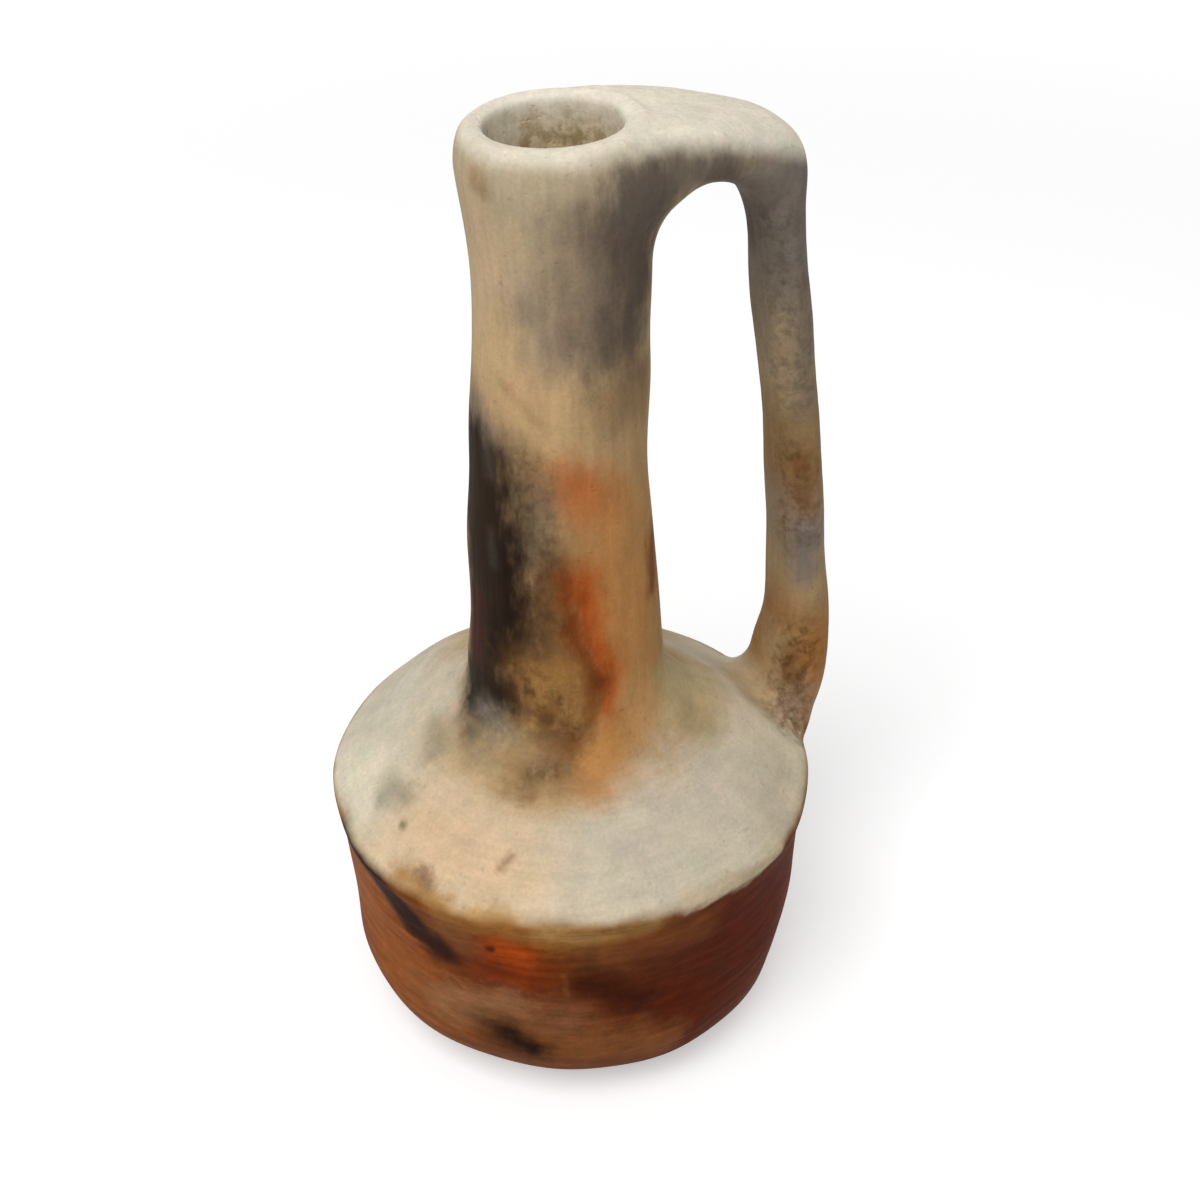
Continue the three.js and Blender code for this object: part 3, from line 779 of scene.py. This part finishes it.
UPPER_CLOUDS_AND_PAINTED_SHADE = (
    # Shoulder
    ("e2c099", 0.85, 18, 16, seen(425, 835), seen(495, 868)),
    ("eadfc6", 0.85, 12, 10, seen(350, 755), seen(362, 785)),
    ("d8cfba", 0.8, 22, 16, seen(385, 700), seen(425, 690)),
    ("cdc2ae", 0.75, 22, 16, seen(650, 850), seen(720, 800)),
    ("bfb199", 0.7, 9, 8, seen(775, 775), seen(775, 820)),
    ("b07f42", 0.85, 3.8, 4, seen(400, 876), seen(444, 908)),
    ("c0935a", 0.8, 3.6, 4, seen(470, 916), seen(510, 923)),
    ("87816a", 0.6, 5, 5, seen(386, 788), seen(400, 795)),
    ("8f8366", 0.55, 4.5, 4.5, seen(436, 728), seen(436, 745)),
    ("6b6048", 0.7, 1.3, 1.4, seen(402, 825)),
    ("86684a", 0.75, 2.2, 2.4, seen(420, 874), seen(428, 886)),
    ("8a6544", 0.6, 1.1, 1.4, seen(503, 866), seen(513, 856)),
    ("c9b98f", 0.75, 10, 9, seen(695, 678), seen(668, 690)),
    ("9f8d66", 0.65, 7, 7, seen(695, 722)),
    ("a99f8a", 0.6, 8, 8, round_at(100, 100), round_at(70, 96)),
    ("c9a67a", 0.7, 12, 11, round_at(40, 96)),
    # Neck
    ("c8ad88", 0.75, 14, 11, seen(476, 230), seen(486, 330)),
    ("caa87a", 0.75, 13, 11, seen(515, 370), seen(560, 415)),
    ("a5917a", 0.6, 7, 7, seen(535, 300), seen(552, 350)),
    # Partly smoke and partly painted shade: the dark grey down the neck's right side under the bridge
    ("7f6e5c", 0.82, 15, 11, seen(608, 240), seen(592, 325)),
    ("584b42", 0.9, 10, 9, seen(646, 205), seen(634, 265), seen(626, 350)),
    ("84694a", 0.7, 8, 8, seen(640, 385), seen(610, 410)),
    ("b26330", 0.85, 8, 8, seen(568, 488), seen(592, 504)),
    ("ba824a", 0.8, 10, 9, seen(612, 530), seen(632, 600), seen(634, 700)),
    ("743f12", 0.85, 4.4, 4.2, seen(651, 540), seen(653, 578)),
    ("796751", 0.85, 8, 7, seen(528, 505), seen(536, 560)),
    ("7b6146", 0.75, 6, 6, seen(508, 452), seen(520, 478)),
    ("7f6f5e", 0.85, 6, 6, seen(474, 404), seen(488, 432)),
    ("5b3c22", 0.8, 6.5, 7, seen(555, 578), seen(550, 610), seen(550, 655)),
    ("3f2a1a", 0.65, 5, 6, seen(530, 604), seen(524, 650)),
    ("211610", 0.97, 15, 6.5, seen(474, 460), seen(481, 510), seen(484, 570), seen(486, 625), seen(482, 686)),
    ("1c110b", 0.85, 4, 5.5, seen(506, 566), seen(514, 604), seen(508, 660)),
    ("6a6158", 0.35, 1.6, 3, seen(486, 440), seen(490, 475)),
    ("57504a", 0.3, 1.4, 2.6, seen(490, 535), seen(492, 565)),
    ("4a1606", 0.7, 4.4, 4.4, seen(477, 596), seen(476, 640)),
    ("857c70", 0.65, 4, 5.5, seen(482, 706), seen(503, 728)),
    ("14110c", 0.9, 3.2, 3, seen(511, 688), seen(514, 708)),
    ("b07a42", 0.75, 8, 7, seen(588, 590), seen(595, 640), seen(608, 700)),
    ("b4521a", 0.85, 4.6, 5, seen(584, 584), seen(588, 612), seen(594, 642), seen(606, 672), seen(610, 706)),
    ("6b2c0c", 0.85, 3, 4.4, seen(565, 580), seen(569, 612), seen(574, 640), seen(584, 664), seen(594, 684)),
    ("5e2a0e", 0.85, 3.2, 5, seen(594, 684), seen(588, 706), seen(582, 726), seen(564, 746), seen(552, 760)),
    ("a06c30", 0.55, 5, 6, seen(566, 680), seen(570, 704)),
    ("bd8245", 0.8, 8, 7, seen(606, 745), seen(588, 775)),
    ("ac763a", 0.65, 5, 8, seen(537, 676), seen(547, 720)),
    ("5f3d22", 0.75, 2.5, 8, seen(528, 690), seen(540, 735), seen(560, 700)),
    ("6c4527", 0.65, 3.5, 5, seen(552, 736), seen(568, 746)),
    ("93836a", 0.7, 7, 7, seen(487, 745)),
    ("a27d50", 0.7, 7, 7, seen(520, 778), seen(552, 782)),
    ("5e3f22", 0.7, 2.2, 3.2, seen(546, 719)),
    ("5f4026", 0.75, 2.8, 3.4, seen(530, 774), seen(550, 770)),
    ("7a5a38", 0.7, 2.4, 2.8, seen(527, 790)),
    ("8a6c46", 0.6, 3, 3, seen(474, 180), seen(480, 186)),
    ("94826c", 0.5, 3.4, 3.6, seen(532, 315)),
    ("96703f", 0.3, 1.2, 1.8, seen(497, 374), seen(516, 400), seen(536, 423)),
    ("c08a70", 0.5, 1.6, 2.0, seen(511, 388)),
    ("c39662", 0.7, 6, 6, seen(634, 690), seen(650, 705)),
    # Neck away from the camera
    ("6f6053", 0.85, 11, 10, round_at(70, 250), round_at(82, 205)),
    ("b4713c", 0.8, 9, 9, round_at(95, 165), round_at(80, 140)),
    ("4a3a2c", 0.85, 7, 7, round_at(50, 185), round_at(42, 150), round_at(52, 128)),
    ("a87c4c", 0.7, 12, 10, round_at(120, 215), round_at(112, 180)),
    # Handle
    # Partly smoke and partly painted shade: the dark grey on the bridge's front and underside
    ("645950", 0.85, 8.5, 8, seen(654, 194), seen(690, 181), seen(714, 179)),
    ("655a50", 0.8, 7, 4.5, seen(634, 192), seen(642, 215)),
    ("5d5248", 0.7, 5, 5, seen(738, 196), seen(748, 225)),
    ("71491f", 0.7, 4, 4.5, seen(803, 462), seen(806, 505)),
    ("6f6b6c", 0.7, 5, 5, seen(804, 540), seen(803, 568)),
    ("7a6c5a", 0.65, 5, 5, seen(803, 290), seen(805, 405)),
    ("b39d7b", 0.6, 4, 4.5, seen(779, 325), seen(784, 400)),
    ("b59a74", 0.8, 6, 6, seen(772, 640), seen(774, 690), seen(776, 715)),
    ("a06a34", 0.75, 6, 6, seen(813, 640), seen(816, 690), seen(806, 728)),
    ("5b3110", 0.75, 3, 6, seen(789, 655), seen(795, 712)),
    ("4d4238", 0.7, 7, 7, round_at(8, 240), round_at(6, 205)),
    ("8c5f30", 0.7, 8, 8, round_at(4, 160), round_at(0, 130)),
)
# Marks that show as specks
SPECKLES = (
    ("4c2e16", 0.6, 9, 8, seen(512, 662), seen(545, 705), seen(535, 765)),
    ("c4a67a", 0.5, 8, 8, seen(500, 742), seen(530, 770)),
    ("3d2b1f", 0.45, 6, 6, seen(520, 470), seen(540, 540), seen(548, 620)),
    ("4f3013", 0.5, 8, 6, seen(788, 460), seen(798, 530)),
    ("492a12", 0.65, 8, 6, seen(792, 640), seen(796, 725)),
    ("4f463c", 0.45, 9, 7, seen(780, 220), seen(788, 330), seen(792, 400)),
    ("5c3c22", 0.7, 9, 9, round_at(6, 150), round_at(2, 125)),
)
# Marks that cross the shoulder's edge: a painted highlight along its rolled edge on the right, and a dark
# streak at the back
CROSSING_STREAK_AND_PAINTED_HIGHLIGHT = (
    ("cdbc9c", 0.9, 3.6, 2.6, seen(690, 903), seen(742, 881), seen(778, 847)),
    ("3a1c0c", 0.85, 5, 4.5, round_at(62, 92), round_at(58, 72)),
)
# Painted light: pale patches on the bore's left and far walls, which lie in shade
BORE_PAINTED_LIGHT = (
    ("f4ead4", 0.9, 5, 4.5, seen(495, 121), seen(503, 130)),
    ("d9ceb8", 0.6, 4, 5, seen(588, 106), seen(606, 112)),
)

# How the outlines of the marks wander: length and reach of each wander,
# and how much of it a mark takes by its radius
WANDERS = ((26.0, 16.0), (9.0, 8.0))
WANDER_SHARES = ((3.0, 0.3), (8.0, 0.6), (99.0, 1.0))
RAGGED = 1.5  # how far a mark's edge breaks up, as a share of its softness
RAGGED_LENGTH = 3.2
DRAWN_FROM = 125.0  # height from which the broken edges are drawn out along the neck
RAGGED_UP = 0.35  # how much they are drawn out, less than 1 being longer
SPECKLE, SPECKLE_RANGE = 3.4, (0.38, 0.68)
CROWN_EDGE = (292.0, 299.0)
CROWN_DROP = 0.0033  # how fast the crown's edge comes down along the bend of the strap, by its reach squared
SHOULDER_EDGE = (83.5, 88.0)
STRAP_SIDE, STRAP_FOOT, STRAP_EDGE = (21.0, 13.0), (90.0, 104.0), 5.0
STRAP_STARTS = (150.0, 250.0, 58.0, 41.0)  # low and high on the strap, and its distance from the axis there
MOUTH_CENTRE = (MOUTH_SHIFT * math.cos(SHIFTED_TO), MOUTH_SHIFT * math.sin(SHIFTED_TO), 0)
BORE_RADII, BORE_START = (21.0, 18.6), (110.0, 120.0)
BORE_MOTTLE, MOTTLE_RANGE = 3.6, (0.38, 0.62)
STROKE_WIDTH = 2.0
STROKE_LENGTH = 24.0
STROKES_AROUND = 3.0
STROKES_UPRIGHT = (112.0, 128.0)  # they go round the jar below these heights, up and down above them
STROKE_SHADES = (80.0, 92.0, 0.6, 0.25)  # low and high on the jar, and how much the strokes shade it there
BLOTCH = 8.0
BLOTCH_ROUND, BLOTCH_UP = 2.4, 0.6  # how tight the blotches lie by height, round the bowl and up the neck
BLOTCH_DEPTHS, BLOTCH_HUE = (0.95, 0.38), 0.14
PIT, PIT_RANGE, PIT_DEPTH = 2.4, (0.64, 0.78), 0.12
GRAIN, GRAIN_SHADES = 1.1, (0.2, 0.8, 0.92, 1.08)  # low and high of the grain, and its shade there
NOISE_MIDDLE = 0.5
ROUGHNESS = (0.2, 0.8, 0.64, 0.48)  # low and high of the strokes, and how rough the clay is there
GLOSS = 0.05
BUMP_OF_STROKES, BUMP_OF_GRAIN = 0.6, 0.4
BUMP_STRENGTH, BUMP_HEIGHT = 0.35, 0.5
FLAT = (1, 1, 0)  # leaves out the height
WHITE = (1, 1, 1, 1)


def fired_clay():
    material = bpy.data.materials.new("fired_clay")
    nodes = Nodes(material)
    place = nodes.scaled(nodes.add("TexCoord", {}, "Object"), 1 / MM)
    drift = (0, 0, 0)
    for length, reach in WANDERS:
        noise = nodes.noise(nodes.scaled(place, 1 / length), result="Color")
        step = nodes.vector("SUBTRACT", noise, (NOISE_MIDDLE,) * 3)
        drift = nodes.vector("MULTIPLY_ADD", step, (reach,) * 3, drift)
    drifted = [nodes.vector("MULTIPLY_ADD", drift, (share,) * 3, place) for _, share in WANDER_SHARES]
    x, y, z = nodes.parts(drifted[0])
    radius = nodes.vector("LENGTH", nodes.vector("MULTIPLY", place, FLAT), result="Value")

    def painted_with(colour, mark_rows, within=1.0):
        for tint, strength, size, softness, *places in mark_rows:
            at = next(at for at, (limit, _) in zip(drifted, WANDER_SHARES) if size <= limit)
            share = nodes.math("MULTIPLY", mark_share(nodes, at, ragged, places, size, softness), within)
            colour = nodes.mix(nodes.math("MULTIPLY", share, strength), colour, pigment(tint))
        return colour

    ragged = broken(nodes, place)
    specks = nodes.noise(nodes.scaled(place, 1 / SPECKLE), detail=4.0, roughness=0.6)
    speckle = nodes.eased(specks, *SPECKLE_RANGE)
    bowl = painted_with(nodes.ramp(z, BOWL_COLOURS), BOWL_CLOUDS)
    beyond = nodes.math("SUBTRACT", x, nodes.eased(z, *STRAP_STARTS))
    past_edge = nodes.eased(beyond, -STRAP_EDGE, STRAP_EDGE)
    on_handle = nodes.math("MULTIPLY", past_edge, nodes.eased(z, *STRAP_FOOT))
    on_handle = nodes.math("MULTIPLY", on_handle, nodes.eased(nodes.math("ABSOLUTE", y), *STRAP_SIDE))
    upper = nodes.mix(on_handle, nodes.ramp(z, UPPER_COLOURS), nodes.ramp(z, HANDLE_COLOURS))
    upper = painted_with(painted_with(upper, UPPER_CLOUDS_AND_PAINTED_SHADE), SPECKLES, speckle)
    colour = nodes.mix(nodes.eased(z, *SHOULDER_EDGE), bowl, upper)
    # Paints the highlight along the shoulder's edge, and the dark streak across it
    colour = painted_with(colour, CROSSING_STREAK_AND_PAINTED_HIGHLIGHT)
    reach = nodes.math("MAXIMUM", x, 0)
    height = nodes.math("MULTIPLY_ADD", nodes.math("MULTIPLY", reach, reach), CROWN_DROP, z)
    colour = nodes.mix(nodes.eased(height, *CROWN_EDGE), colour, pigment(CROWN_COLOUR))
    # The bore: mottled clay with painted shade deeper down and painted light near the lip and on its left and
    # far walls
    mottle = nodes.noise(nodes.scaled(place, 1 / BORE_MOTTLE), detail=3.0, roughness=0.6)
    mottle = nodes.eased(mottle, *MOTTLE_RANGE)
    bore = painted_with(nodes.mix(mottle, nodes.ramp(z, BORE_DARK_PAINTED_SHADE_AND_LIGHT), nodes.ramp(z, BORE_PALE_PAINTED_SHADE_AND_LIGHT)), BORE_PAINTED_LIGHT)
    off_axis = nodes.vector("MULTIPLY", nodes.vector("SUBTRACT", place, MOUTH_CENTRE), FLAT)
    bore_radius = nodes.vector("LENGTH", off_axis, result="Value")
    in_bore = nodes.math("MULTIPLY", nodes.eased(bore_radius, *BORE_RADII), nodes.eased(z, *BORE_START))
    colour = nodes.mix(in_bore, colour, bore)

    strokes = burnish(nodes, place, radius)

    def blotches(up, depth):
        at = nodes.vector("MULTIPLY", place, (1 / BLOTCH, 1 / BLOTCH, up / BLOTCH))
        noise = nodes.noise(at, detail=5.0, roughness=0.6, result="Color")
        tint = nodes.vector("SUBTRACT", noise, (NOISE_MIDDLE,) * 3)
        tint = nodes.vector("MULTIPLY_ADD", tint, (BLOTCH_HUE,) * 3, (1, 1, 1))
        shade = nodes.math("SUBTRACT", noise.node.outputs["Fac"], NOISE_MIDDLE)
        return nodes.scaled(tint, nodes.math("MULTIPLY_ADD", shade, depth, 1.0))

    low, high = blotches(BLOTCH_ROUND, BLOTCH_DEPTHS[0]), blotches(BLOTCH_UP, BLOTCH_DEPTHS[1])
    colour = nodes.vector("MULTIPLY", colour, nodes.mix(nodes.eased(z, *SHOULDER_EDGE), low, high))
    pits = nodes.eased(nodes.noise(nodes.scaled(place, 1 / PIT)), *PIT_RANGE)
    colour = nodes.scaled(colour, nodes.math("MULTIPLY_ADD", pits, -PIT_DEPTH, 1.0))
    depth = nodes.eased(z, *STROKE_SHADES)
    stroke = nodes.math("SUBTRACT", strokes, NOISE_MIDDLE)
    colour = nodes.scaled(colour, nodes.math("MULTIPLY_ADD", stroke, depth, 1.0))
    grain = nodes.noise(nodes.scaled(place, 1 / GRAIN), detail=3.0, roughness=0.6)
    colour = nodes.scaled(colour, nodes.eased(grain, *GRAIN_SHADES))

    bump = nodes.math("MULTIPLY", grain, BUMP_OF_GRAIN)
    bump = nodes.math("MULTIPLY_ADD", strokes, BUMP_OF_STROKES, bump)
    bump = {"Height": nodes.math("SUBTRACT", bump, pits)}
    bump.update({"Strength": BUMP_STRENGTH, "Distance": BUMP_HEIGHT * MM})
    shader = nodes.tree.nodes["Principled BSDF"]
    nodes.fill(shader.inputs["Base Color"], colour)
    nodes.fill(shader.inputs["Roughness"], nodes.eased(strokes, *ROUGHNESS))
    nodes.fill(shader.inputs["Specular IOR Level"], GLOSS)
    nodes.fill(shader.inputs["Normal"], nodes.add("Bump", bump))
    return material


def broken(nodes, place):
    """How far the edges of the marks break out or in at a place."""
    x, y, z = nodes.parts(place)
    above = nodes.math("MAXIMUM", nodes.math("SUBTRACT", z, DRAWN_FROM), 0)
    drawn = nodes.math("MULTIPLY_ADD", above, RAGGED_UP - 1, z)
    at = nodes.scaled(nodes.add("CombineXYZ", {"X": x, "Y": y, "Z": drawn}), 1 / RAGGED_LENGTH)
    noise = nodes.noise(at, detail=4.0, roughness=0.65)
    return nodes.math("MULTIPLY_ADD", noise, RAGGED, -RAGGED / 2)


def mark_share(nodes, place, ragged, places, radius, softness):
    """How much of a mark lies at a place: all on a line through its places, none past its soft edge."""
    gap = None
    for a, b in zip(places, places[1:] or places):
        run = b - a
        way = run / max(run.length_squared, TINY)
        along = nodes.vector("DOT_PRODUCT", place, way, result="Value")
        along = nodes.math("ADD", along, -a.dot(way), clamp=True)
        nearest = nodes.vector("ADD", nodes.scaled(run, along), a)
        reach = nodes.vector("DISTANCE", place, nearest, result="Value")
        gap = reach if gap is None else nodes.math("MINIMUM", gap, reach)
    gap = nodes.math("MULTIPLY_ADD", ragged, softness, gap)
    return nodes.eased(gap, radius + softness, radius - softness)


def burnish(nodes, place, radius):
    """The marks of the burnishing pebble: round the bowl and shoulder, up and down the neck and handle."""
    z = nodes.parts(place)["Z"]
    per_turn = nodes.math("DIVIDE", STROKES_AROUND, radius)
    turn = nodes.scaled(nodes.vector("MULTIPLY", place, FLAT), per_turn)
    level = nodes.add("CombineXYZ", {"Z": nodes.math("DIVIDE", z, STROKE_WIDTH)})
    around = nodes.noise(nodes.vector("ADD", turn, level), W=nodes.math("DIVIDE", radius, STROKE_WIDTH))
    tall = nodes.vector("MULTIPLY", place, (1 / STROKE_WIDTH, 1 / STROKE_WIDTH, 1 / STROKE_LENGTH))
    upright = nodes.eased(z, *STROKES_UPRIGHT)
    difference = nodes.math("SUBTRACT", nodes.noise(tall), around)
    return nodes.math("MULTIPLY_ADD", difference, upright, around)


clay = fired_clay()
for node, mesh in pieces.items():
    add_piece(node, mesh, clay)


# Studio

FLOOR_REACH = 4.0
FLOOR_GREY = 0.85
FLOOR_WHITE = 0.42  # what the camera alone sees on top of the floor's own pale grey
FLOOR_FADE = (0.6, 2.4)  # how far out the floor starts to fade into the white behind it, and ends
KEY_PLACE, KEY_SIZE, KEY_POWER = (-0.66, -0.54, 1.54), 0.9, 14.5
KEY_AIM = (0, 0, 0.15)
WORLD_STRENGTH = 0.45


def add_floor():
    mesh = bpy.data.meshes.new("floor")
    corners = [(x * FLOOR_REACH, y * FLOOR_REACH, 0) for x, y in ((-1, -1), (1, -1), (1, 1), (-1, 1))]
    mesh.from_pydata(corners, [], [(0, 1, 2, 3)])
    material = bpy.data.materials.new("floor")
    nodes = Nodes(material)
    shader = nodes.tree.nodes["Principled BSDF"]
    nodes.fill(shader.inputs["Base Color"], (FLOOR_GREY, FLOOR_GREY, FLOOR_GREY, 1))
    nodes.fill(shader.inputs["Roughness"], 1.0)
    nodes.fill(shader.inputs["Specular IOR Level"], 0.0)
    nodes.fill(shader.inputs["Emission Color"], WHITE)
    distance = nodes.vector("LENGTH", nodes.add("TexCoord", {}, "Object"), result="Value")
    white = nodes.eased(distance, *FLOOR_FADE, FLOOR_WHITE, 1.0)
    seen_white = nodes.math("MULTIPLY", nodes.add("LightPath", {}, "Is Camera Ray"), white)
    nodes.fill(shader.inputs["Emission Strength"], seen_white)
    mesh.materials.append(material)
    floor = bpy.data.objects.new("floor", mesh)
    bpy.context.scene.collection.objects.link(floor)


def add_lamp(name, place, size, power):
    data = bpy.data.lights.new(name, "AREA")
    data.size = size
    data.energy = power
    lamp = bpy.data.objects.new(name, data)
    lamp.location = place
    lamp.rotation_euler = (Vector(place) - Vector(KEY_AIM)).to_track_quat("Z", "Y").to_euler()
    bpy.context.scene.collection.objects.link(lamp)


def add_world(strength):
    world = bpy.data.worlds.new("studio")
    bpy.context.scene.world = world
    world.use_nodes = True
    tree = world.node_tree
    sky = tree.nodes["Background"]
    sky.inputs["Color"].default_value = WHITE
    ray = tree.nodes.new("ShaderNodeLightPath")
    white = ray.outputs["Is Camera Ray"]
    for kind in ("Is Glossy Ray", "Is Transmission Ray"):
        either = tree.nodes.new("ShaderNodeMath")
        either.operation = "MAXIMUM"
        tree.links.new(white, either.inputs[0])
        tree.links.new(ray.outputs[kind], either.inputs[1])
        white = either.outputs[0]
    level = tree.nodes.new("ShaderNodeMapRange")
    level.inputs["To Min"].default_value = strength
    level.inputs["To Max"].default_value = 1.0
    tree.links.new(white, level.inputs["Value"])
    tree.links.new(level.outputs[0], sky.inputs["Strength"])


add_floor()
add_lamp("key", KEY_PLACE, KEY_SIZE, KEY_POWER)
add_world(WORLD_STRENGTH)
bpy.context.scene.view_settings.view_transform = "Standard"
